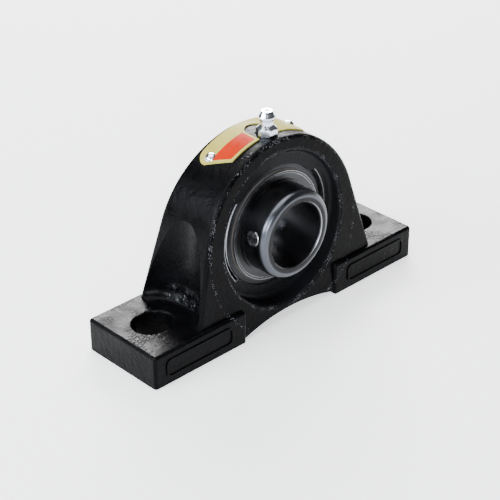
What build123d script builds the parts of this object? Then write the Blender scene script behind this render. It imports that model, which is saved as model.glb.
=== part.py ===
from build123d import *
import os
from math import asin, cos, pi, radians, sin, sqrt, tan

# Two-bolt pillow block with a self-aligning ball bearing insert for a one inch shaft.
# Millimetres. X runs along the base, Y along the shaft with the set screw side at -Y, Z is up.
# The origin is the centre of the bolt pattern in the plane of the base.

# Base
base_length = 135.2
base_width = 36.6
foot_thickness = 13.2
foot_edge = 1.2
bolt_spacing = 105.2
slot_width = 13.5
slot_length = 16.0
slot_rim = 0.8
relief_width = 48.0
relief_height = 1.2
relief_crown = 3.6
foot_length = 44.2

# Arch over the shaft, drafted towards both faces
shaft_height = 36.5
crown_radius = 37.8
crown_drop = 2.5
crown_width = 21.0
web_setback = 0.5
flank_lean = 15.6
cast_edge = 1.6
wrench_radius = 17.4
wrench_root = 4.0

# Dish and spherical seat
dish_radius = 29.5
dish_root = 1.6
dish_lip = 1.3
seat_width = 18.6
loading_height = 32.0
loading_play = 0.15

# Insert
bore_diameter = 25.4
bore_chamfer = 0.6
ring_front_reach = 20.5
ring_back_reach = 14.3
collar_wall = 4.6
nose_radius = 2.5
back_edge = 0.8
ball_count = 9
ball_diameter = 7.94
race_conformity = 0.52
inner_groove_depth = 2.02
outer_groove_depth = 1.32
outer_ring_wall = 2.38
outer_ring_width = 17.0
outer_ring_edge = 0.4
cage_gap = 0.9
cage_thickness = 2.2
cage_width = 10.4

# Seals
seal_recess_depth = 1.5
seal_recess_step = 0.7
seal_sheet = 0.6
slinger_sheet = 0.8
slinger_gap = 1.15
slinger_bead = 0.9
slinger_lip = 0.25
slinger_sleeve = 1.6
shell_gap = 0.8
felt_stand = 0.25

# Set screws in the collar
screw_diameter = 6.35
screw_length = 4.35
screw_setback = 6.0
screw_socket = 3.175
screw_socket_depth = 2.4
screw_chamfer = 0.5
screw_angles = (170.0, 50.0)
screw_cup = 0.6
screw_rest_gap = 0.25

# Locking pin at the top of the outer ring
pin_diameter = 3.0
pin_grip = 3.0
pin_bite = 1.1
pin_swing = 1.1
pin_chamfer = 0.3
pin_floor_gap = 0.15

# Grease fitting
fitting_offset = 4.4
fitting_hex = 7.14
fitting_hex_height = 3.2
fitting_hex_chamfer = 0.5
fitting_thread_radius = 3.1
fitting_thread_length = 5.0
fitting_thread_point = 0.5
fitting_shoulder = 1.3
fitting_step = 0.2
fitting_neck_radius = 2.4
fitting_neck_height = 1.4
fitting_head_radius = 3.1
fitting_flare_height = 1.2
fitting_band_height = 0.6
fitting_cone_height = 2.1
fitting_tip_radius = 2.0
fitting_pad_radius = 4.6
fitting_pad_depth = 0.45
grease_hole_radius = 1.0
check_ball_radius = 1.3
check_chamber_radius = 1.45
check_tip_radius = 0.9
check_tip_depth = 0.5
check_passage_radius = 0.9
spring_length = 3.2
spring_wire = 0.36
spring_turns = 4
spring_play = 0.05
spring_rest = 0.02
oil_groove_width = 1.8
oil_groove_depth = 0.8
oil_hole_radius = 0.75

# Nameplate and its drive screws
plate_thickness = 0.5
plate_angle = 31.6
plate_front = -5.6
plate_back = 8.6
plate_front_length = 36.0
plate_length = 45.4
plate_shoulder = 4.2
plate_round = 3.6
plate_corner = 1.0
plate_notch_width = 9.8
plate_notch_depth = 10.8
plate_screw_y = 4.0
drive_screw_radius = 1.2
drive_screw_length = 4.5
drive_point_radius = 0.6
drive_head_radius = 2.1
drive_head_height = 1.1

# Raised frames on the front of the feet
frame_height = 7.4
frame_length = 32.0
frame_inset = 5.2
frame_base = 2.7
frame_line = 0.7
frame_relief = 0.45
frame_corner = 2.2

# Clearances
seat_play = 0.03
race_play = 0.02
press_play = 0.02
thread_play = 0.03
pocket_play = 0.18
seal_play = 0.08
pin_play = 0.05
hole_runout = 0.4

# Radii of the insert and of the housing round it, from the bore outwards
bore_radius = bore_diameter / 2
ball_radius = ball_diameter / 2
collar_radius = bore_radius + collar_wall
ball_pitch_radius = collar_radius + ball_radius - inner_groove_depth
outer_shoulder_radius = ball_pitch_radius + ball_radius - outer_groove_depth
seal_recess_radius = outer_shoulder_radius + seal_recess_step
slinger_radius = seal_recess_radius - slinger_gap
cage_inner_radius = collar_radius + cage_gap
seat_radius = ball_pitch_radius + ball_radius + outer_ring_wall

half_length = base_length / 2
half_width = base_width / 2
half_relief = relief_width / 2
slot_x = bolt_spacing / 2
crown_z = shaft_height - crown_drop
crown_top = crown_z + crown_radius
lean = radians(flank_lean)
tangent_x = crown_radius * cos(lean)
tangent_z = crown_z + crown_radius * sin(lean)
beyond = 5.0

shaft_axis = Axis((0, 0, shaft_height), (0, 1, 0))
shaft_section = Plane.XY.offset(shaft_height)


def near(value, target, tolerance=0.01):
    return abs(value - target) < tolerance


# Two feet of the casting, rounded along their upper edges and their corners
with BuildPart() as feet:
    with BuildSketch(Plane.XY):
        with Locations((foot_length / 2 - half_length, 0), (half_length - foot_length / 2, 0)):
            Rectangle(foot_length, base_width)
    extrude(amount=foot_thickness)
    fillet(feet.edges().filter_by(lambda e: e.center().Z > foot_edge), foot_edge)

# Arch of the casting, drawn from the front and cut to its drafted side profile
arch_base_x = tangent_x + tangent_z * tan(lean)
arch_half_width = half_width - web_setback
with BuildPart() as arch:
    with BuildSketch(Plane.XZ):
        with BuildLine():
            Polyline(
                (-tangent_x, tangent_z),
                (-arch_base_x, 0),
                (arch_base_x, 0),
                (tangent_x, tangent_z),
            )
            ThreePointArc((-tangent_x, tangent_z), (0, crown_top), (tangent_x, tangent_z))
        make_face()
    extrude(amount=half_width, both=True)
    with BuildSketch(Plane.YZ):
        with BuildLine():
            Polyline(
                (-arch_half_width, 0),
                (arch_half_width, 0),
                (crown_width / 2, crown_top),
                (-crown_width / 2, crown_top),
                close=True,
            )
        make_face()
    extrude(amount=arch_base_x + beyond, both=True, mode=Mode.INTERSECT)
    rims = arch.edges().filter_by(
        lambda e: abs(e.center().Y) > crown_width / 4 and e.center().Z > cast_edge
    )
    fillet(rims, cast_edge)

# Housing: feet and arch in one iron casting
with BuildPart() as housing:
    add(feet.part)
    add(arch.part)

    # Arched relief under the web
    with BuildSketch(Plane.XZ):
        with BuildLine():
            Polyline(
                (-half_relief, relief_height),
                (-half_relief, -beyond),
                (half_relief, -beyond),
                (half_relief, relief_height),
            )
            ThreePointArc(
                (-half_relief, relief_height),
                (0, relief_height + relief_crown),
                (half_relief, relief_height),
            )
        make_face()
    extrude(amount=half_width + beyond, both=True, mode=Mode.SUBTRACT)

    # Wrench clearance: a vertical round cut over each bolt, with a rounded root on the foot
    for side in (-1, 1):
        bolt_axis = Axis((side * slot_x, 0, 0), (0, 0, 1))
        with BuildSketch(Plane.XZ) as wrench_section:
            with BuildLine():
                Polyline(
                    (side * slot_x, foot_thickness),
                    (side * (slot_x - wrench_radius + wrench_root), foot_thickness),
                )
                TangentArc(
                    (side * (slot_x - wrench_radius + wrench_root), foot_thickness),
                    (side * (slot_x - wrench_radius), foot_thickness + wrench_root),
                    tangent=(-side, 0),
                )
                Polyline(
                    (side * (slot_x - wrench_radius), foot_thickness + wrench_root),
                    (side * (slot_x - wrench_radius), crown_top),
                    (side * slot_x, crown_top),
                    (side * slot_x, foot_thickness),
                )
            make_face()
        revolve(axis=bolt_axis, mode=Mode.SUBTRACT)

    # Bolt slots
    with BuildSketch(Plane.XY):
        with Locations((-slot_x, 0), (slot_x, 0)):
            SlotOverall(slot_length, slot_width)
    extrude(amount=foot_thickness, mode=Mode.SUBTRACT)
    slot_edges = housing.edges().filter_by(
        lambda e: near(e.center().Z, foot_thickness)
        and abs(abs(e.center().X) - slot_x) < slot_length / 2
        and abs(e.center().Y) < slot_width / 2 + slot_rim
    )
    fillet(slot_edges, slot_rim)

    # Dish on both faces and the spherical seat between them, turned about the shaft
    half_seat = seat_width / 2
    seat_edge = sqrt(seat_radius**2 - half_seat**2)
    with BuildSketch(shaft_section) as seat_section:
        with BuildLine():
            Polyline(
                (0, -half_width - beyond),
                (dish_radius, -half_width - beyond),
                (dish_radius, -half_seat),
                (seat_edge, -half_seat),
            )
            ThreePointArc((seat_edge, -half_seat), (seat_radius, 0), (seat_edge, half_seat))
            Polyline(
                (seat_edge, half_seat),
                (dish_radius, half_seat),
                (dish_radius, half_width + beyond),
                (0, half_width + beyond),
                (0, -half_width - beyond),
            )
        make_face()
        roots = seat_section.vertices().filter_by(
            lambda v: near(v.X, dish_radius) and near(abs(v.Y), half_seat)
        )
        fillet(roots, dish_root)
    revolve(axis=shaft_axis, mode=Mode.SUBTRACT)
    lips = housing.edges().filter_by(
        lambda e: near((e @ 0.5 - Vector(0, (e @ 0.5).Y, shaft_height)).length, dish_radius)
        and e.geom_type != GeomType.LINE
        and abs((e @ 0.5).Y) > half_seat + dish_root + 0.01
    )
    fillet(lips, dish_lip)

    # Loading slots: the outer ring goes in edge on from the front and is then turned
    with BuildSketch(Plane.XZ.offset(half_width + beyond)):
        with Locations((0, shaft_height)):
            Circle(seat_radius + loading_play)
            Rectangle(2 * (seat_radius + beyond), loading_height, mode=Mode.INTERSECT)
    extrude(amount=-(half_width + beyond), mode=Mode.SUBTRACT)

    # Spot face, tapped hole and grease passage down to the seat
    fitting_y = -fitting_offset
    pad_z = crown_top - fitting_pad_depth
    with BuildSketch(Plane.XY.offset(pad_z)):
        with Locations((0, fitting_y)):
            Circle(fitting_pad_radius)
    extrude(amount=beyond, mode=Mode.SUBTRACT)
    with BuildSketch(Plane.XY.offset(pad_z)):
        with Locations((0, fitting_y)):
            Circle(fitting_thread_radius + thread_play)
    extrude(amount=-(fitting_thread_length + hole_runout), mode=Mode.SUBTRACT)
    with BuildSketch(Plane.XY.offset(pad_z)):
        with Locations((0, fitting_y)):
            Circle(grease_hole_radius)
    extrude(amount=-(pad_z - shaft_height), mode=Mode.SUBTRACT)

    # Pocket for the locking pin, straight up from the top of the seat
    pocket_top = shaft_height + seat_radius + pin_grip
    with BuildSketch(Plane.XY.offset(pocket_top + pin_play)):
        Circle(pin_diameter / 2 + pin_play)
    extrude(amount=-(pocket_top - shaft_height), mode=Mode.SUBTRACT)

    # Holes for the drive screws of the nameplate
    for side in (-1, 1):
        turn = radians(plate_angle)
        outward = Vector(side * sin(turn), 0, cos(turn))
        seat_point = Vector(0, plate_screw_y, crown_z) + outward * crown_radius
        with BuildSketch(Plane(origin=seat_point, z_dir=outward)):
            Circle(drive_screw_radius + press_play)
        extrude(amount=-(drive_screw_length + hole_runout), mode=Mode.SUBTRACT)

    # Raised cast frames on the front of the feet, left empty
    for side in (-1, 1):
        with BuildSketch(Plane.XZ.offset(half_width)):
            middle = (side * (half_length - frame_inset - frame_length / 2), frame_base + frame_height / 2)
            with Locations(middle):
                RectangleRounded(frame_length, frame_height, frame_corner)
                RectangleRounded(
                    frame_length - 2 * frame_line,
                    frame_height - 2 * frame_line,
                    frame_corner - frame_line,
                    mode=Mode.SUBTRACT,
                )
        extrude(amount=frame_relief)
housing.part.label = "housing"

# Nameplate: thin sheet bent over the crown, with a notch round the grease fitting
plate_inner = crown_radius + press_play
plate_outer = plate_inner + plate_thickness
with BuildPart() as nameplate:
    with BuildSketch(Plane.XZ):
        with Locations((0, crown_z)):
            Circle(plate_outer)
            Circle(plate_inner, mode=Mode.SUBTRACT)
    extrude(amount=half_width, both=True)
    with BuildSketch(Plane.XY.offset(crown_z)) as plan:
        with BuildLine():
            Polyline(
                (-plate_length / 2, plate_shoulder),
                (-plate_front_length / 2, plate_front),
                (plate_front_length / 2, plate_front),
                (plate_length / 2, plate_shoulder),
                (plate_length / 2, plate_back),
                (-plate_length / 2, plate_back),
                close=True,
            )
        make_face()
        corners = plan.vertices()
        fillet(corners.filter_by(lambda v: near(v.Y, plate_back)), plate_round)
        corners = plan.vertices()
        fillet(corners.filter_by(lambda v: near(v.Y, plate_front)), plate_corner)
        with Locations((0, plate_front - plate_notch_width / 2)):
            SlotOverall(
                2 * plate_notch_depth + plate_notch_width,
                plate_notch_width,
                rotation=90,
                mode=Mode.SUBTRACT,
            )
    extrude(amount=crown_radius + beyond, mode=Mode.INTERSECT)
    for side in (-1, 1):
        turn = radians(plate_angle)
        outward = Vector(side * sin(turn), 0, cos(turn))
        seat_point = Vector(0, plate_screw_y, crown_z) + outward * crown_radius
        with BuildSketch(Plane(origin=seat_point, z_dir=outward)):
            Circle(drive_screw_radius + press_play)
        extrude(amount=beyond, mode=Mode.SUBTRACT)
nameplate.part.label = "nameplate"


def drive_screw(side):
    """Dome-headed drive screw, pressed through the nameplate into the crown."""
    turn = radians(plate_angle)
    outward = Vector(side * sin(turn), 0, cos(turn))
    under_head = Vector(0, plate_screw_y, crown_z) + outward * (plate_outer + press_play)
    dome_radius = (drive_head_radius**2 + drive_head_height**2) / (2 * drive_head_height)
    dome_center = drive_head_height - dome_radius
    dome_angle = asin(drive_head_radius / dome_radius)
    with BuildPart() as screw:
        with BuildSketch(Plane(origin=under_head, x_dir=(0, 1, 0), z_dir=Vector(0, 1, 0).cross(outward))):
            with BuildLine():
                Polyline(
                    (0, drive_head_height),
                    (0, -drive_screw_length),
                    (drive_point_radius, -drive_screw_length),
                    (drive_screw_radius, -drive_screw_length + drive_screw_radius),
                    (drive_screw_radius, 0),
                    (drive_head_radius, 0),
                )
                ThreePointArc(
                    (drive_head_radius, 0),
                    (dome_radius * sin(dome_angle / 2), dome_center + dome_radius * cos(dome_angle / 2)),
                    (0, drive_head_height),
                )
            make_face()
        revolve(axis=Axis(under_head, outward))
    return screw.part


plate_screws = {}
for side, name in ((-1, "nameplate_screw_left"), (1, "nameplate_screw_right")):
    plate_screws[name] = drive_screw(side)
    plate_screws[name].label = name

# Outer ring: spherical outside, ball race, seal recesses, oil groove and locking slot
outer_sphere = seat_radius - seat_play
outer_half = outer_ring_width / 2
outer_edge = sqrt(outer_sphere**2 - outer_half**2)
race_radius = ball_diameter * race_conformity
outer_race_bottom = ball_pitch_radius + ball_radius + race_play
outer_race_center = outer_race_bottom - race_radius
outer_race_half = sqrt(race_radius**2 - (outer_shoulder_radius - outer_race_center) ** 2)
recess_y = outer_half - seal_recess_depth
with BuildPart() as outer_ring:
    with BuildSketch(shaft_section) as ring_section:
        with BuildLine():
            ThreePointArc(
                (outer_edge, -outer_half),
                (outer_sphere, 0),
                (outer_edge, outer_half),
            )
            Polyline(
                (outer_edge, outer_half),
                (seal_recess_radius, outer_half),
                (seal_recess_radius, recess_y),
                (outer_shoulder_radius, recess_y),
                (outer_shoulder_radius, outer_race_half),
            )
            ThreePointArc(
                (outer_shoulder_radius, outer_race_half),
                (outer_race_bottom, 0),
                (outer_shoulder_radius, -outer_race_half),
            )
            Polyline(
                (outer_shoulder_radius, -outer_race_half),
                (outer_shoulder_radius, -recess_y),
                (seal_recess_radius, -recess_y),
                (seal_recess_radius, -outer_half),
                (outer_edge, -outer_half),
            )
        make_face()
        rim_points = ring_section.vertices().filter_by(lambda v: near(v.X, outer_edge))
        chamfer(rim_points, outer_ring_edge)
    revolve(axis=shaft_axis)

    # Oil groove under the grease hole, with one hole through to the balls
    groove_outer = sqrt(outer_sphere**2 - fitting_offset**2)
    with BuildSketch(shaft_section):
        with Locations((groove_outer, fitting_y)):
            Rectangle(2 * oil_groove_depth, oil_groove_width)
    revolve(axis=shaft_axis, mode=Mode.SUBTRACT)
    with BuildSketch(Plane.XY.offset(shaft_height)):
        with Locations((0, fitting_y)):
            Circle(oil_hole_radius)
    extrude(amount=seat_radius, mode=Mode.SUBTRACT)

    # Slot along the shaft for the locking pin
    slot_floor = shaft_height + outer_sphere - pin_bite - pin_floor_gap
    with BuildSketch(Plane.XY.offset(slot_floor)):
        SlotOverall(
            pin_diameter + 2 * (pin_swing + pin_play),
            pin_diameter + 2 * pin_play,
            rotation=90,
        )
    extrude(amount=beyond, mode=Mode.SUBTRACT)
outer_ring.part.label = "outer_ring"

# Locking pin: held in the housing, reaching into the slot of the outer ring
with BuildPart() as locking_pin:
    with BuildSketch(Plane.XY.offset(shaft_height + outer_sphere - pin_bite)):
        Circle(pin_diameter / 2)
    extrude(amount=pocket_top - (shaft_height + outer_sphere - pin_bite))
    chamfer(locking_pin.faces().sort_by(Axis.Z)[-1].edges(), pin_chamfer)
locking_pin.part.label = "locking_pin"

# Inner ring: ball race, long collar with a rounded nose, and two tapped holes
ring_front = -ring_front_reach
ring_back = ring_back_reach
inner_race_bottom = ball_pitch_radius - ball_radius - race_play
inner_race_center = inner_race_bottom + race_radius
inner_race_half = sqrt(race_radius**2 - (inner_race_center - collar_radius) ** 2)
screw_y = ring_front + screw_setback
with BuildPart() as inner_ring:
    with BuildSketch(shaft_section) as inner_section:
        with BuildLine():
            Polyline(
                (collar_radius, -inner_race_half),
                (collar_radius, ring_front),
                (bore_radius, ring_front),
                (bore_radius, ring_back),
                (collar_radius, ring_back),
                (collar_radius, inner_race_half),
            )
            ThreePointArc(
                (collar_radius, inner_race_half),
                (inner_race_bottom, 0),
                (collar_radius, -inner_race_half),
            )
        make_face()
        corners = inner_section.vertices()
        nose = corners.filter_by(lambda v: near(v.X, collar_radius) and near(v.Y, ring_front))
        fillet(nose, nose_radius)
        corners = inner_section.vertices()
        tail = corners.filter_by(lambda v: near(v.X, collar_radius) and near(v.Y, ring_back))
        fillet(tail, back_edge)
        corners = inner_section.vertices()
        mouth = corners.filter_by(lambda v: near(v.X, bore_radius))
        chamfer(mouth, bore_chamfer)
    revolve(axis=shaft_axis)
    for angle in screw_angles:
        outward = Vector(cos(radians(angle)), 0, sin(radians(angle)))
        with BuildSketch(Plane(origin=(0, screw_y, shaft_height), z_dir=outward)):
            Circle(screw_diameter / 2 + thread_play)
        extrude(amount=collar_radius + beyond, mode=Mode.SUBTRACT)
inner_ring.part.label = "inner_ring"


def set_screw(angle):
    """Hollow hexagon set screw with a cup point, backed off just clear of the bore."""
    outward = Vector(cos(radians(angle)), 0, sin(radians(angle)))
    tip = Vector(0, screw_y, shaft_height) + outward * (bore_radius + screw_rest_gap)
    top = tip + outward * screw_length
    with BuildPart() as screw:
        with BuildSketch(Plane(origin=tip, z_dir=outward)):
            Circle(screw_diameter / 2)
        extrude(amount=screw_length)
        ends = screw.edges().filter_by(GeomType.CIRCLE)
        chamfer(ends, screw_chamfer)
        with BuildSketch(Plane(origin=top, z_dir=outward)):
            RegularPolygon(screw_socket / 2, 6, major_radius=False)
        extrude(amount=-screw_socket_depth, mode=Mode.SUBTRACT)
        with BuildSketch(Plane(origin=tip, z_dir=outward)):
            Circle(screw_diameter / 2 - 2 * screw_chamfer)
        extrude(amount=screw_cup, taper=45, mode=Mode.SUBTRACT)
    return screw.part


set_screws = {}
for number, angle in enumerate(screw_angles, start=1):
    name = f"set_screw_{number}"
    set_screws[name] = set_screw(angle)
    set_screws[name].label = name

# Cage: one ring with a round pocket for each ball
cage_radius = cage_inner_radius + cage_thickness
with BuildPart() as ball_cage:
    with BuildSketch(Plane.XZ.offset(cage_width / 2)):
        with Locations((0, shaft_height)):
            Circle(cage_radius)
            Circle(cage_inner_radius, mode=Mode.SUBTRACT)
    extrude(amount=-cage_width)
    for number in range(ball_count):
        angle = 2 * pi * number / ball_count + pi / 2
        outward = Vector(cos(angle), 0, sin(angle))
        with BuildSketch(Plane(origin=(0, 0, shaft_height), z_dir=outward)):
            Circle(ball_radius + pocket_play)
        extrude(amount=cage_radius + beyond, mode=Mode.SUBTRACT)
ball_cage.part.label = "ball_cage"

balls = {}
for number in range(ball_count):
    angle = 2 * pi * number / ball_count + pi / 2
    middle = (ball_pitch_radius * cos(angle), 0, shaft_height + ball_pitch_radius * sin(angle))
    with BuildPart() as ball:
        with Locations(middle):
            Sphere(ball_radius)
    name = f"ball_{number + 1}"
    balls[name] = ball.part
    balls[name].label = name


def seal_ring(side, profile):
    """Ring turned about the shaft from (radius, distance from the insert's centre) points."""
    with BuildPart() as ring:
        with BuildSketch(shaft_section):
            with BuildLine():
                Polyline(*[(radius, side * reach) for radius, reach in profile], close=True)
            make_face()
        revolve(axis=shaft_axis)
    return ring.part


# Seals, the same on both sides: a pressed shell in the outer ring, a felt washer in the
# shell, and a slinger on the inner ring that turns with the shaft
shell_outer = seal_recess_radius - press_play
shell_inner = collar_radius + seal_play + shell_gap
felt_front = outer_half + felt_stand
slinger_face = felt_front + seal_play
slinger_inner = collar_radius + press_play
shell_profile = [
    (shell_outer, recess_y + press_play),
    (shell_outer, outer_half),
    (shell_outer - seal_sheet, outer_half),
    (shell_outer - seal_sheet, recess_y + seal_sheet),
    (shell_inner, recess_y + seal_sheet),
    (shell_inner, recess_y + press_play),
]
felt_profile = [
    (shell_outer - seal_sheet - press_play, recess_y + seal_sheet + press_play),
    (shell_outer - seal_sheet - press_play, felt_front),
    (collar_radius + seal_play, felt_front),
    (collar_radius + seal_play, recess_y + seal_sheet + press_play),
]
slinger_profile = [
    (slinger_inner, slinger_face),
    (slinger_radius, slinger_face),
    (slinger_radius, slinger_face + slinger_sheet + slinger_lip),
    (slinger_radius - slinger_bead, slinger_face + slinger_sheet + slinger_lip),
    (slinger_radius - slinger_bead, slinger_face + slinger_sheet),
    (slinger_inner + slinger_sheet, slinger_face + slinger_sheet),
    (slinger_inner + slinger_sheet, slinger_face + slinger_sleeve),
    (slinger_inner, slinger_face + slinger_sleeve),
]
seals = {}
for side, place in ((-1, "front"), (1, "back")):
    for piece, profile in (
        ("seal_shell", shell_profile),
        ("seal_felt", felt_profile),
        ("slinger", slinger_profile),
    ):
        name = f"{place}_{piece}"
        seals[name] = seal_ring(side, profile)
        seals[name].label = name

# Grease fitting: hexagon, neck and head over a threaded shank, bored for the check ball
hex_bottom = pad_z + press_play
hex_top = hex_bottom + fitting_hex_height
neck_bottom = hex_top + fitting_shoulder
neck_top = neck_bottom + fitting_neck_height
band_bottom = neck_top + fitting_flare_height
band_top = band_bottom + fitting_band_height
head_top = band_top + fitting_cone_height
chamber_top = head_top - check_tip_depth
ball_rest = chamber_top + check_tip_radius - sqrt(2) * (check_ball_radius + seat_play)
spring_top = ball_rest - check_ball_radius - seat_play
spring_bottom = spring_top - spring_length
fitting_section = Plane.XZ.offset(-fitting_y)
fitting_axis = Axis((0, fitting_y, 0), (0, 0, 1))
with BuildPart() as grease_fitting_body:
    with BuildSketch(fitting_section):
        with BuildLine():
            Polyline(
                (0, hex_bottom - fitting_thread_length),
                (fitting_thread_radius - fitting_thread_point, hex_bottom - fitting_thread_length),
                (fitting_thread_radius, hex_bottom - fitting_thread_length + fitting_thread_point),
                (fitting_thread_radius, hex_bottom),
                (fitting_hex / sqrt(3), hex_bottom),
                (fitting_hex / sqrt(3), hex_top - fitting_hex_chamfer),
                (fitting_hex / 2, hex_top),
                (fitting_hex / 2 - fitting_step, hex_top + fitting_step),
                (fitting_neck_radius, neck_bottom),
                (fitting_neck_radius, neck_top),
                (fitting_head_radius, band_bottom),
                (fitting_head_radius, band_top),
                (fitting_tip_radius, head_top),
                (0, head_top),
                close=True,
            )
        make_face()
    revolve(axis=fitting_axis)
    with BuildSketch(Plane.XY.offset(hex_bottom)):
        with Locations((0, fitting_y)):
            Circle(fitting_hex)
            RegularPolygon(fitting_hex / 2, 6, major_radius=False, mode=Mode.SUBTRACT)
    extrude(amount=fitting_hex_height, mode=Mode.SUBTRACT)
    with BuildSketch(fitting_section):
        with BuildLine():
            Polyline(
                (0, hex_bottom - fitting_thread_length - beyond),
                (check_passage_radius, hex_bottom - fitting_thread_length - beyond),
                (check_passage_radius, spring_bottom),
                (check_chamber_radius, spring_bottom),
                (check_chamber_radius, chamber_top + check_tip_radius - check_chamber_radius),
                (check_tip_radius, chamber_top),
                (check_tip_radius, head_top + beyond),
                (0, head_top + beyond),
                close=True,
            )
        make_face()
    revolve(axis=fitting_axis, mode=Mode.SUBTRACT)
grease_fitting_body.part.label = "grease_fitting_body"

with BuildPart() as grease_fitting_ball:
    with Locations((0, fitting_y, ball_rest)):
        Sphere(check_ball_radius)
grease_fitting_ball.part.label = "grease_fitting_ball"

# Spring: round wire wound on a helix, standing on the ledge of the chamber
coil_radius = check_chamber_radius - spring_wire / 2 - spring_play
coil_bottom = spring_bottom + spring_wire / 2 + spring_rest
coil_height = spring_length - spring_wire - 2 * spring_rest
coil_pitch = coil_height / spring_turns
with BuildPart() as grease_fitting_spring:
    with BuildLine():
        coil = Helix(coil_pitch, coil_height, coil_radius, center=(0, fitting_y, coil_bottom))
    with BuildSketch(Plane(origin=coil @ 0, z_dir=coil % 0)):
        Circle(spring_wire / 2)
    sweep(is_frenet=True)
grease_fitting_spring.part.label = "grease_fitting_spring"

pieces = {
    "housing": housing.part,
    "nameplate": nameplate.part,
    **plate_screws,
    "outer_ring": outer_ring.part,
    "locking_pin": locking_pin.part,
    "inner_ring": inner_ring.part,
    **set_screws,
    "ball_cage": ball_cage.part,
    **balls,
    **seals,
    "grease_fitting_body": grease_fitting_body.part,
    "grease_fitting_ball": grease_fitting_ball.part,
    "grease_fitting_spring": grease_fitting_spring.part,
}
os.makedirs("parts", exist_ok=True)
for name, piece in pieces.items():
    export_step(piece, f"parts/{name}.step")
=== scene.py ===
"""Two-bolt pillow block with a ball bearing insert, dressed for a product shot."""

from math import cos, radians, sin, sqrt

import bmesh
import bpy
from mathutils import Matrix, Vector


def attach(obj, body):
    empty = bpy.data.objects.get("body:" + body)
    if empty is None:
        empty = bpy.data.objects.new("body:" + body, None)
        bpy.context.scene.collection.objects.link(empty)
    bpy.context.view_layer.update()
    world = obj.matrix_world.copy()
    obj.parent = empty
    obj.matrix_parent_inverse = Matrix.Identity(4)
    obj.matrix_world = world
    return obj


MM = 0.001

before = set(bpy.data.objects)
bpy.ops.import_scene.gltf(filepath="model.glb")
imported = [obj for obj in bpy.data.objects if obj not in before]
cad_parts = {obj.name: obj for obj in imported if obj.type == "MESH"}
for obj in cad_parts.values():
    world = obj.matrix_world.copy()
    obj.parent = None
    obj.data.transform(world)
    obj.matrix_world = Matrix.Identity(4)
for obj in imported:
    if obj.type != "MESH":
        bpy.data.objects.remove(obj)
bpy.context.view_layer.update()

# Places that the materials and added pieces are measured from, in metres
shaft_height = 36.5 * MM
bore_radius = 12.7 * MM
seat_radius = 25.6 * MM
seat_half_width = 9.3 * MM
loading_half_height = 16.0 * MM
ring_face_radius = 24.12 * MM
slinger_radius = 21.45 * MM
slinger_bead = 0.9 * MM
dish_lip_radius = 30.3 * MM
arch_front = -9.2 * MM
crown_z = 34.0 * MM
crown_radius = 37.8 * MM
foot_top = 13.4 * MM
# Slanted edge of the painted glint on the outer ring's ground outside
glint_edge_height = 47 * MM
glint_edge_slope = 0.35
nose_start = -17.7 * MM
nose_full = -18.9 * MM
ring_face = -20.45 * MM
ring_face_edge = -20.2 * MM
nose_inner_radius = bore_radius + 1.8 * MM
nose_outer_radius = bore_radius + 2.5 * MM

# Colours that several finishes share
bare_steel = (0.30, 0.30, 0.31)
# Bright metal at edges: worn metal and painted edge highlights
worn_and_glint_steel = (0.30, 0.31, 0.33)
cool_white = (0.86, 0.93, 1.0)

# Camera, matched to the photograph
camera_azimuth = radians(43.94)
camera_elevation = radians(30.28)
camera_roll = radians(-0.08)
camera_distance = 554.2 * MM
camera_lens = 107.11
camera_target = Vector((0, 0, 35 * MM))
camera_shift_right = -3.01 * MM
camera_shift_up = -11.33 * MM


def place_camera():
    """Camera at the photograph's azimuth, elevation, roll, distance and lens."""
    az, el, roll = camera_azimuth, camera_elevation, camera_roll
    back = Vector((-sin(az) * cos(el), -cos(az) * cos(el), sin(el)))
    level = Vector((cos(az), -sin(az), 0))
    rise = back.cross(level)
    right = cos(roll) * level + sin(roll) * rise
    up = -sin(roll) * level + cos(roll) * rise
    target = camera_target + camera_shift_right * level + camera_shift_up * rise
    data = bpy.data.cameras.new("camera")
    data.sensor_width = 36
    data.lens = camera_lens
    camera = bpy.data.objects.new("camera", data)
    bpy.context.scene.collection.objects.link(camera)
    turn = Matrix((right, up, back)).transposed().to_4x4()
    camera.matrix_world = Matrix.Translation(target + camera_distance * back) @ turn
    bpy.context.scene.camera = camera


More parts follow.
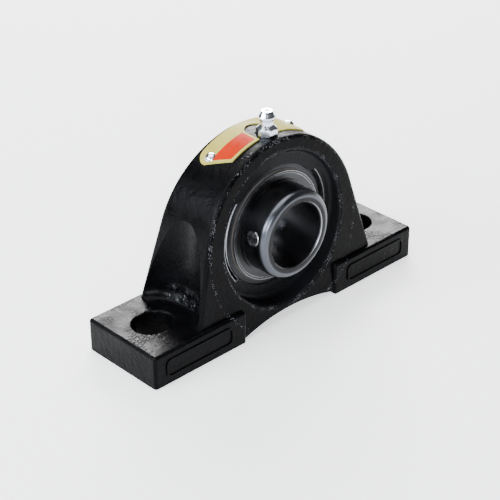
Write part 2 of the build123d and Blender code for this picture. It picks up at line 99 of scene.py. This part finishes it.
class Shader:
    """Node tree of one material, with short calls for the nodes that the materials share."""

    def __init__(self, name, color, roughness, metallic=0.0, specular=0.5):
        self.material = bpy.data.materials.new(name)
        self.material.use_nodes = True
        self.tree = self.material.node_tree
        self.surface = self.tree.nodes["Principled BSDF"]
        self.set(self.surface, "Base Color", (*color, 1))
        self.set(self.surface, "Roughness", roughness)
        self.set(self.surface, "Metallic", metallic)
        self.set(self.surface, "Specular IOR Level", specular)
        self.material.diffuse_color = (*color, 1)
        self.point = self.add("ShaderNodeTexCoord").outputs["Object"]

    def add(self, kind, **settings):
        node = self.tree.nodes.new(kind)
        for key, value in settings.items():
            setattr(node, key, value)
        return node

    def set(self, node, socket, value):
        """Links a socket to another node's output, or sets its constant."""
        if isinstance(value, bpy.types.NodeSocket):
            self.tree.links.new(value, node.inputs[socket])
        else:
            node.inputs[socket].default_value = value

    def math(self, operation, a, b=0.0, c=0.0):
        node = self.add("ShaderNodeMath", operation=operation)
        for index, value in enumerate((a, b, c)):
            self.set(node, index, value)
        return node.outputs[0]

    def ramp(self, value, low, high, start=0.0, end=1.0):
        """Smooth change from start to end as the value goes from low to high."""
        node = self.add("ShaderNodeMapRange", interpolation_type="SMOOTHSTEP")
        for socket, number in zip((0, 1, 2, 3, 4), (value, low, high, start, end)):
            self.set(node, socket, number)
        return node.outputs[0]

    def noise(self, size, detail=2.0, rough=0.5, at=None):
        """Noise whose grains are about the given size in metres."""
        node = self.add("ShaderNodeTexNoise")
        self.set(node, "Vector", at or self.point)
        self.set(node, "Scale", 1 / size)
        self.set(node, "Detail", detail)
        self.set(node, "Roughness", rough)
        return node.outputs["Fac"]

    def cells(self, size, feature="F1", at=None):
        node = self.add("ShaderNodeTexVoronoi", feature=feature)
        self.set(node, "Vector", at or self.point)
        self.set(node, "Scale", 1 / size)
        return node.outputs["Distance"]

    def stretch(self, x, y, z):
        """Object coordinates scaled along each axis."""
        node = self.add("ShaderNodeMapping")
        self.set(node, "Vector", self.point)
        self.set(node, "Scale", (x, y, z))
        return node.outputs["Vector"]

    def split(self, vector):
        node = self.add("ShaderNodeSeparateXYZ")
        self.set(node, 0, vector)
        return node.outputs

    def radius(self, height=shaft_height):
        """Distance from the shaft's axis, or from a parallel one at another height."""
        x, _, z = self.split(self.point)
        up = self.math("SUBTRACT", z, height)
        squares = self.math("ADD", self.math("MULTIPLY", x, x), self.math("MULTIPLY", up, up))
        return self.math("SQRT", squares)

    def near(self, value, middle, reach):
        """1 where the value is within reach of the middle, else 0."""
        distance = self.math("ABSOLUTE", self.math("SUBTRACT", value, middle))
        return self.math("LESS_THAN", distance, reach)

    def between(self, value, low, high):
        """1 where the value is over low and under high, else 0."""
        over = self.math("GREATER_THAN", value, low)
        return self.math("MULTIPLY", over, self.math("LESS_THAN", value, high))

    def mix(self, factor, a, b):
        node = self.add("ShaderNodeMix", data_type="RGBA")
        colors = [socket for socket in node.inputs if socket.type == "RGBA"]
        self.tree.links.new(factor, node.inputs["Factor"])
        for socket, value in zip(colors, (a, b)):
            if isinstance(value, bpy.types.NodeSocket):
                self.tree.links.new(value, socket)
            else:
                socket.default_value = (*value, 1)
        return [socket for socket in node.outputs if socket.type == "RGBA"][0]

    def bump(self, height, depth, before=None):
        """Bump of the given depth in metres, on top of an earlier one."""
        node = self.add("ShaderNodeBump")
        self.set(node, "Strength", 1.0)
        self.set(node, "Distance", depth)
        self.set(node, "Height", height)
        if before is not None:
            self.set(node, "Normal", before)
        return node.outputs["Normal"]

    def finish(self, normal=None):
        if normal is not None:
            self.set(self.surface, "Normal", normal)
        return self.material


def bare_metal(s):
    """Mask of the machined seat and loading slots, which carry no paint."""
    _, y, z = s.split(s.point)
    in_seat = s.math("LESS_THAN", s.math("ABSOLUTE", y), seat_half_width - 0.04 * MM)
    in_slot = s.near(z, shaft_height, loading_half_height + 0.02 * MM)
    near_axis = s.math("LESS_THAN", s.radius(), seat_radius + 0.3 * MM)
    return s.math("MULTIPLY", near_axis, s.math("MAXIMUM", in_seat, in_slot))


def chips_and_painted_glints(s):
    """Mask of small bright specks along the front rims of the dish and the arch: paint chips, and
    painted glints where the rims catch the light.
    """
    _, y, _ = s.split(s.point)
    lip = s.near(s.radius(), dish_lip_radius, 0.7 * MM)
    rim = s.near(s.radius(crown_z), crown_radius - 0.8 * MM, 0.6 * MM)
    front = s.math("LESS_THAN", y, arch_front)
    speck_size = s.ramp(s.noise(3 * MM), 0.35, 0.65, 0.08, 0.34)
    specks = s.math("LESS_THAN", s.cells(0.5 * MM), speck_size)
    return s.math("MULTIPLY", s.math("MULTIPLY", s.math("MAXIMUM", lip, rim), front), specks)


def pooled_paint(s):
    """Mask of the thick, lumpy paint where the arch meets the feet."""
    x, y, z = s.split(s.point)
    above_foot = s.ramp(z, foot_top, foot_top + 1 * MM)
    below_web = s.ramp(z, 17 * MM, 21 * MM, 1.0, 0.0)
    outside = s.ramp(s.math("ABSOLUTE", x), 25 * MM, 30 * MM)
    within_web = s.ramp(s.math("ABSOLUTE", y), 7.5 * MM, 9.5 * MM, 1.0, 0.0)
    at_root = s.math("MULTIPLY", s.math("MULTIPLY", above_foot, below_web), outside)
    return s.math("MULTIPLY", at_root, within_web)


def black_paint():
    """Semi-gloss black paint over sand-cast iron, with bare machined metal round the insert."""
    s = Shader("black_paint", (0.004, 0.004, 0.0045), 0.3, specular=0.038)
    bare = bare_metal(s)
    pooled = pooled_paint(s)
    painted = s.math("SUBTRACT", 1.0, bare)

    dust = s.ramp(s.noise(9 * MM, 4.0), 0.45, 0.75)
    color = s.mix(dust, (0.0008, 0.0008, 0.0010), (0.0020, 0.0020, 0.0024))
    # Paint inside the dish is made lighter: painted light that lifts the shade in the dish under the
    # insert.
    dish_fill_light = s.math("LESS_THAN", s.radius(), dish_lip_radius)
    color = s.mix(dish_fill_light, color, (0.006, 0.006, 0.0068))
    # Bright specks on the front rims: paint chips and painted glints.
    color = s.mix(chips_and_painted_glints(s), color, (0.10, 0.10, 0.11))
    wet = s.math("MULTIPLY", pooled, s.ramp(s.noise(2.2 * MM, 2.0), 0.52, 0.62))
    color = s.mix(wet, color, (0.020, 0.020, 0.022))
    s.set(s.surface, "Base Color", s.mix(bare, color, bare_steel))
    s.set(s.surface, "Metallic", s.math("MAXIMUM", bare, wet))

    patches = s.ramp(s.noise(7 * MM, 2.0), 0.35, 0.7, 0.24, 0.38)
    gloss = s.math("MULTIPLY_ADD", pooled, -0.08, patches)
    s.set(s.surface, "Roughness", s.math("MULTIPLY_ADD", bare, 0.08, gloss))

    _, _, facing_up = s.split(s.add("ShaderNodeNewGeometry").outputs["Normal"])
    creases = s.ramp(s.cells(1.7 * MM, "DISTANCE_TO_EDGE"), 0.0, 0.16)
    on_top = s.ramp(facing_up, 0.75, 0.97)
    leathery = s.math("MULTIPLY", on_top, s.ramp(s.noise(11 * MM), 0.42, 0.6))
    normal = s.bump(s.math("MULTIPLY", s.noise(2.0 * MM, 2.0), painted), 0.14 * MM)
    normal = s.bump(s.math("MULTIPLY", s.noise(0.8 * MM, 3.0, 0.6), painted), 0.09 * MM, normal)
    normal = s.bump(s.math("MULTIPLY", creases, leathery), 0.07 * MM, normal)
    normal = s.bump(s.math("MULTIPLY", s.noise(2.6 * MM, 2.0), pooled), 1.2 * MM, normal)
    return s.finish(normal)


def lathe_marks(s, roughness, depth):
    """Sets a cloudy gloss, and returns it with the fine marks that circle the shaft."""
    _, y, _ = s.split(s.point)
    across = s.add("ShaderNodeCombineXYZ")
    s.set(across, 0, s.radius())
    s.set(across, 1, y)
    marks = s.noise(0.12 * MM, 1.0, at=across.outputs[0])
    cloud = s.noise(5 * MM, 3.0)
    s.set(s.surface, "Roughness", s.ramp(cloud, 0.3, 0.7, roughness - 0.05, roughness + 0.07))
    return cloud, s.bump(marks, depth)


def turned_metal(name, color, roughness, mark_depth, metallic=1.0, specular=0.5):
    """Metal turned on a lathe about the shaft."""
    s = Shader(name, color, roughness, metallic, specular)
    cloud, marks = lathe_marks(s, roughness, mark_depth)
    dark, light = (tuple(share * c for c in color) for share in (0.85, 1.15))
    s.set(s.surface, "Base Color", s.mix(cloud, dark, light))
    return s.finish(marks)


def blackened_metal(name, color, roughness, mark_depth, specular, edges, ground_and_glint_area=None, shade=None):
    """Black oxide on turned metal, with bright lines at edges given as the radii they lie between:
    worn metal and painted edge highlights.
    """
    s = Shader(name, color, roughness, 1.0, specular)
    _, marks = lathe_marks(s, roughness, mark_depth)
    worn_and_glint = ground_and_glint_area(s) if ground_and_glint_area else 0.0
    # Bright bands at the given radii: worn edges and painted edge highlights
    for low, high in edges:
        worn_and_glint = s.math("MAXIMUM", worn_and_glint, s.between(s.radius(), low, high))
    dark = shade(s, color) if shade else color
    s.set(s.surface, "Base Color", s.mix(worn_and_glint, dark, worn_and_glint_steel))
    return s.finish(marks)


def ground_sphere_glint(s):
    """Mask of the outer ring's ground outside, where the upper ends of the slots show it, cut by a
    slanted line to its upper left: bare ground steel, and a painted glint where that side catches the
    light.
    """
    x, _, z = s.split(s.point)
    outside = s.math("GREATER_THAN", s.radius(), ring_face_radius)
    slanted = s.math("SUBTRACT", z, s.math("MULTIPLY", glint_edge_slope, x))
    return s.math("MULTIPLY", outside, s.math("GREATER_THAN", slanted, glint_edge_height))


def nose_highlight_and_shade(s, color):
    """Painted shade on the flat face and painted highlight on the rounding at the front end of the
    inner ring, made as darker and brighter metal.
    """
    _, y, _ = s.split(s.point)
    on_face = s.ramp(y, ring_face, ring_face_edge, 1.0, 0.0)
    forward = s.ramp(y, nose_full, nose_start, 1.0, 0.0)
    rounding = s.math("MULTIPLY", forward, s.ramp(s.radius(), nose_inner_radius, nose_outer_radius))
    # Darker metal on the flat face is painted shade; brighter metal on the rounding is painted
    # highlight.
    return s.mix(rounding, s.mix(on_face, color, (0.010, 0.010, 0.011)), (0.066, 0.070, 0.081))


def plated(name, color, roughness, metallic=1.0):
    """Bright plated metal with small tool marks and a slightly uneven gloss."""
    s = Shader(name, color, roughness, metallic)
    cloud = s.noise(1.6 * MM, 3.0)
    s.set(s.surface, "Roughness", s.ramp(cloud, 0.3, 0.7, roughness * 0.7, roughness * 1.5))
    s.set(s.surface, "Base Color", s.mix(cloud, tuple(0.88 * c for c in color), color))
    normal = s.bump(s.noise(0.9 * MM, 2.0), 0.03 * MM)
    return s.finish(s.bump(s.noise(0.18 * MM, 1.0), 0.006 * MM, normal))


def enamel(name, color, shade):
    """Printed enamel on thin sheet, faintly rippled and a little dusty."""
    s = Shader(name, color, 0.3, specular=0.02)
    s.set(s.surface, "Base Color", s.mix(s.ramp(s.noise(6 * MM, 4.0), 0.35, 0.75), color, shade))
    s.set(s.surface, "Roughness", s.ramp(s.noise(2.5 * MM, 2.0), 0.3, 0.7, 0.24, 0.38))
    return s.finish(s.bump(s.noise(3.5 * MM), 0.05 * MM))


def felt():
    s = Shader("felt", (0.06, 0.055, 0.05), 0.95, specular=0.2)
    fibres = s.noise(0.25 * MM, 4.0, 0.7, at=s.stretch(1, 0.5, 1))
    s.set(s.surface, "Base Color", s.mix(fibres, (0.03, 0.027, 0.024), (0.10, 0.09, 0.08)))
    return s.finish(s.bump(fibres, 0.15 * MM))


def nylon():
    s = Shader("cage_plastic", (0.62, 0.52, 0.34), 0.45, specular=0.4)
    s.set(s.surface, "Base Color", s.mix(s.noise(4 * MM, 3.0), (0.52, 0.42, 0.26), (0.68, 0.58, 0.40)))
    return s.finish(s.bump(s.noise(0.4 * MM, 2.0), 0.01 * MM))


def dress_frame(materials):
    """Gives each CAD node its finish."""
    finish = {
        "housing": "black_paint",
        "nameplate": "nameplate",
        "nameplate_screw_left": "zinc_plate",
        "nameplate_screw_right": "zinc_plate",
        "grease_fitting_body": "zinc_plate",
        "grease_fitting_ball": "screw_steel",
        "grease_fitting_spring": "spring_steel",
        "locking_pin": "bearing_steel",
        "outer_ring": "ring_steel",
        "inner_ring": "black_oxide",
        "front_slinger": "slinger",
        "back_slinger": "slinger",
        "front_seal_shell": "seal_steel",
        "back_seal_shell": "seal_steel",
        "front_seal_felt": "felt",
        "back_seal_felt": "felt",
        "ball_cage": "cage_plastic",
        "set_screw_1": "screw_steel",
        "set_screw_2": "screw_steel",
    }
    for name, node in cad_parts.items():
        material = materials[finish.get(name, "ball_steel")]
        node.data.materials.clear()
        node.data.materials.append(material)


# Orange panel printed along the front of the nameplate's left half, in plan
plate_surface = crown_radius + 0.52 * MM
panel_lift = 0.02 * MM
panel_thickness = 0.05 * MM
panel_outline = [
    (-21.0 * MM, 2.4 * MM),
    (-17.6 * MM, -4.5 * MM),
    (-6.0 * MM, -4.5 * MM),
    (-5.6 * MM, 2.5 * MM),
]


def on_crown(x, y, lift):
    """Point over (x, y) on the cylinder of the crown, lifted by the given height."""
    reach = plate_surface + lift
    return Vector((x, y, crown_z + sqrt(reach * reach - x * x)))


def nameplate_panel(material):
    """Thin coat of colour bent over the nameplate."""
    mesh = bmesh.new()
    low = [mesh.verts.new((x, y, 0)) for x, y in panel_outline]
    mesh.faces.new(low)
    steps = 24
    left = min(x for x, _ in panel_outline)
    right = max(x for x, _ in panel_outline)
    for step in range(1, steps):
        x = left + (right - left) * step / steps
        geometry = mesh.verts[:] + mesh.edges[:] + mesh.faces[:]
        bmesh.ops.bisect_plane(mesh, geom=geometry, plane_co=(x, 0, 0), plane_no=(1, 0, 0))
    for vertex in mesh.verts:
        vertex.co = on_crown(vertex.co.x, vertex.co.y, panel_lift)
    top = bmesh.ops.extrude_face_region(mesh, geom=mesh.faces[:])
    for item in top["geom"]:
        if isinstance(item, bmesh.types.BMVert):
            item.co = on_crown(item.co.x, item.co.y, panel_lift + panel_thickness)
    bmesh.ops.recalc_face_normals(mesh, faces=mesh.faces[:])
    data = bpy.data.meshes.new("nameplate_panel")
    mesh.to_mesh(data)
    mesh.free()
    panel = bpy.data.objects.new("nameplate_panel", data)
    bpy.context.scene.collection.objects.link(panel)
    data.materials.append(material)
    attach(panel, "housing")


def floor():
    """Plain pale floor under the feet."""
    reach = 4.0
    level = -0.05 * MM
    data = bpy.data.meshes.new("floor")
    corners = [(x * reach, y * reach, level) for x, y in ((-1, -1), (1, -1), (1, 1), (-1, 1))]
    data.from_pydata(corners, [], [(0, 1, 2, 3)])
    s = Shader("floor", (0.6, 0.6, 0.6), 0.9, specular=0.1)
    s.set(s.surface, "Emission Color", (1, 1, 1, 1))
    s.set(s.surface, "Emission Strength", 1.0)
    data.materials.append(s.finish())
    ground = bpy.data.objects.new("floor", data)
    bpy.context.scene.collection.objects.link(ground)


def softbox(name, place, size, power, color=(1, 1, 1), aim=(0, 0, 30 * MM)):
    """Rectangular area light that faces the object."""
    data = bpy.data.lights.new(name, "AREA")
    data.shape = "RECTANGLE"
    data.size, data.size_y = size
    data.energy = power
    data.color = color
    light = bpy.data.objects.new(name, data)
    bpy.context.scene.collection.objects.link(light)
    light.location = place
    light.rotation_mode = "QUATERNION"
    light.rotation_quaternion = (Vector(place) - Vector(aim)).to_track_quat("Z", "Y")


def studio():
    """Soft boxes above, to the left, near the camera and behind, in a dim room."""
    world = bpy.data.worlds.new("studio")
    world.use_nodes = True
    sky = world.node_tree.nodes["Background"]
    sky.inputs["Color"].default_value = (1, 1, 1, 1)
    sky.inputs["Strength"].default_value = 0.15
    bpy.context.scene.world = world
    softbox("overhead", (-0.1, 0.15, 1.2), (1.2, 1.5), 36)
    softbox("left", (-1.05, 0.18, 0.54), (1.2, 0.32), 42, cool_white)
    softbox("near", (-0.80, -0.88, 0.42), (0.24, 0.24), 17, cool_white)
    softbox("behind", (0.85, 0.88, 0.72), (0.9, 0.5), 74)


bead_radius = slinger_radius - slinger_bead
materials = {
    "black_paint": black_paint(),
    "nameplate": enamel("nameplate", (0.28, 0.24, 0.055), (0.24, 0.205, 0.042)),
    "panel": enamel("panel", (0.28, 0.012, 0.0002), (0.24, 0.010, 0.0002)),
    "zinc_plate": plated("zinc_plate", (0.60, 0.64, 0.70), 0.16),
    "ball_steel": plated("ball_steel", (0.80, 0.80, 0.82), 0.08),
    "spring_steel": plated("spring_steel", (0.50, 0.50, 0.52), 0.25),
    "bearing_steel": turned_metal("bearing_steel", (0.32, 0.32, 0.33), 0.3, 0.004 * MM),
    "black_oxide": blackened_metal(
        "black_oxide", (0.036, 0.036, 0.040), 0.33, 0.002 * MM, specular=0.4,
        edges=[(bore_radius + 0.32 * MM, bore_radius + 0.5 * MM)],
        shade=nose_highlight_and_shade,
    ),
    "ring_steel": blackened_metal(
        "ring_steel", (0.022, 0.022, 0.024), 0.35, 0.004 * MM, specular=0.2,
        edges=[(ring_face_radius - 0.12 * MM, ring_face_radius + 0.12 * MM)],
        ground_and_glint_area=ground_sphere_glint,
    ),
    "slinger": blackened_metal(
        "slinger", (0.034, 0.034, 0.036), 0.34, 0.002 * MM, specular=0.2,
        edges=[
            (slinger_radius - 0.12 * MM, slinger_radius + 0.1 * MM),
            (bead_radius - 0.06 * MM, bead_radius + 0.06 * MM),
        ],
    ),
    "seal_steel": turned_metal("seal_steel", (0.02, 0.02, 0.022), 0.4, 0.003 * MM, 0.4, 0.2),
    "screw_steel": plated("screw_steel", (0.20, 0.20, 0.21), 0.28),
    "felt": felt(),
    "cage_plastic": nylon(),
}
dress_frame(materials)
nameplate_panel(materials["panel"])
floor()
studio()
place_camera()
